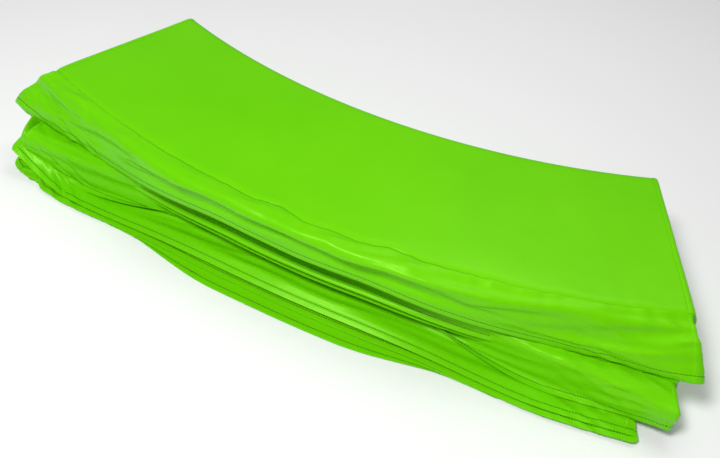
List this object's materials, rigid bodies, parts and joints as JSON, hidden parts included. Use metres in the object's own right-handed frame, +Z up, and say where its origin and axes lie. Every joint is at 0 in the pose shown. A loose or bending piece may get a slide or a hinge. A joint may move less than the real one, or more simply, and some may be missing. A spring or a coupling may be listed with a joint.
{
  "type": "trampoline spring cover",
  "caption": "Padded ring cover for the springs of a round trampoline, foam under coated fabric with a hanging outer skirt, folded in a zigzag into one stack of curved leaves.",
  "frame": {"origin": "middle of the folded cover's footprint, on the floor", "axes": "+Z up; +X along the chord of the curved stack; +Y from the outer skirts towards the ring's centre"},
  "size_m": [1.208, 0.4744, 0.17],
  "materials": {
    "cover": "glossy coated weave",
    "backing": "matt coated weave",
    "foam": "closed-cell foam",
    "elastic": "ribbed webbing"
  },
  "bodies": {
    "leaf_1": {"foam_core_1": "foam", "face_sheet_1": "cover", "backing_1": "backing", "skirt_1": "cover", "hem_1": "cover", "strap_1": "elastic", "foam_core_2": "foam", "face_sheet_2": "cover", "backing_2": "backing", "skirt_2": "cover", "hem_2": "cover", "strap_2": "elastic", "end_fold_top": "cover"},
    "leaf_2": {"foam_core_3": "foam", "face_sheet_3": "cover", "backing_3": "backing", "skirt_3": "cover", "hem_3": "cover", "strap_3": "elastic", "foam_core_4": "foam", "face_sheet_4": "cover", "backing_4": "backing", "skirt_4": "cover", "hem_4": "cover", "strap_4": "elastic", "right_upper_outer_fold": "cover", "right_upper_inner_fold": "backing"},
    "leaf_3": {"foam_core_5": "foam", "face_sheet_5": "cover", "backing_5": "backing", "skirt_5": "cover", "hem_5": "cover", "strap_5": "elastic", "foam_core_6": "foam", "face_sheet_6": "cover", "backing_6": "backing", "skirt_6": "cover", "hem_6": "cover", "strap_6": "elastic", "left_outer_fold": "cover", "left_inner_fold": "backing"},
    "leaf_4": {"foam_core_7": "foam", "face_sheet_7": "cover", "backing_7": "backing", "skirt_7": "cover", "hem_7": "cover", "strap_7": "elastic", "foam_core_8": "foam", "face_sheet_8": "cover", "backing_8": "backing", "skirt_8": "cover", "hem_8": "cover", "strap_8": "elastic", "end_fold_bottom": "cover", "right_lower_outer_fold": "cover", "right_lower_inner_fold": "backing"}
  },
  "joints": [
    {"name": "right_lower_fold", "type": "hinge", "parent": "leaf_4", "child": "leaf_3", "pos_m": [0.52906, 0.10677, 0.0424], "axis": [-0.3827, 0.9239, 0], "range_deg": [0, 180], "deforming": ["right_lower_outer_fold", "right_lower_inner_fold"]},
    {"name": "left_fold", "type": "hinge", "parent": "leaf_3", "child": "leaf_2", "pos_m": [-0.52906, 0.10677, 0.085], "axis": [-0.3827, -0.9239, 0], "range_deg": [0, 180], "deforming": ["left_outer_fold", "left_inner_fold"]},
    {"name": "right_upper_fold", "type": "hinge", "parent": "leaf_2", "child": "leaf_1", "pos_m": [0.52906, 0.10677, 0.1276], "axis": [-0.3827, 0.9239, 0], "range_deg": [0, 180], "deforming": ["right_upper_outer_fold", "right_upper_inner_fold"]}
  ]
}
